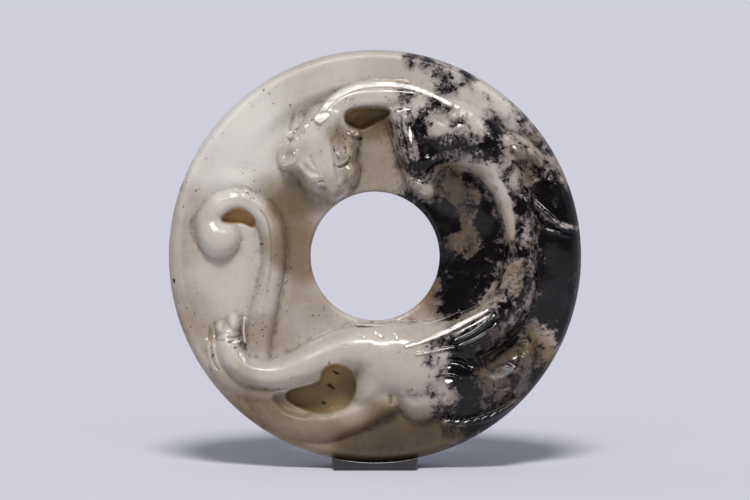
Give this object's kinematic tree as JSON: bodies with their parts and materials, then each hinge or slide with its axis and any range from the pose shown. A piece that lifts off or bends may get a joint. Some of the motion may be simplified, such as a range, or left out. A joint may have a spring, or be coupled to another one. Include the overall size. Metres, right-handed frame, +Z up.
{
  "type": "carved jade bi disc",
  "caption": "Round jade disc with a central hole, its front carved in high relief with a hornless dragon curling round the hole, standing upright in a low dark cradle.",
  "frame": {"origin": "middle of the cradle's flat underside, on the surface that the part stands on", "axes": "+Z up, -Y out of the carved front face, +X to the right as the carved face is looked at"},
  "size_m": [0.056, 0.0142, 0.0567],
  "materials": {
    "black_and_white_jade": "polished",
    "black_gloss": "glossy"
  },
  "bodies": {
    "root": {"jade_disc": "black_and_white_jade", "display_cradle": "black_gloss"}
  },
  "joints": []
}
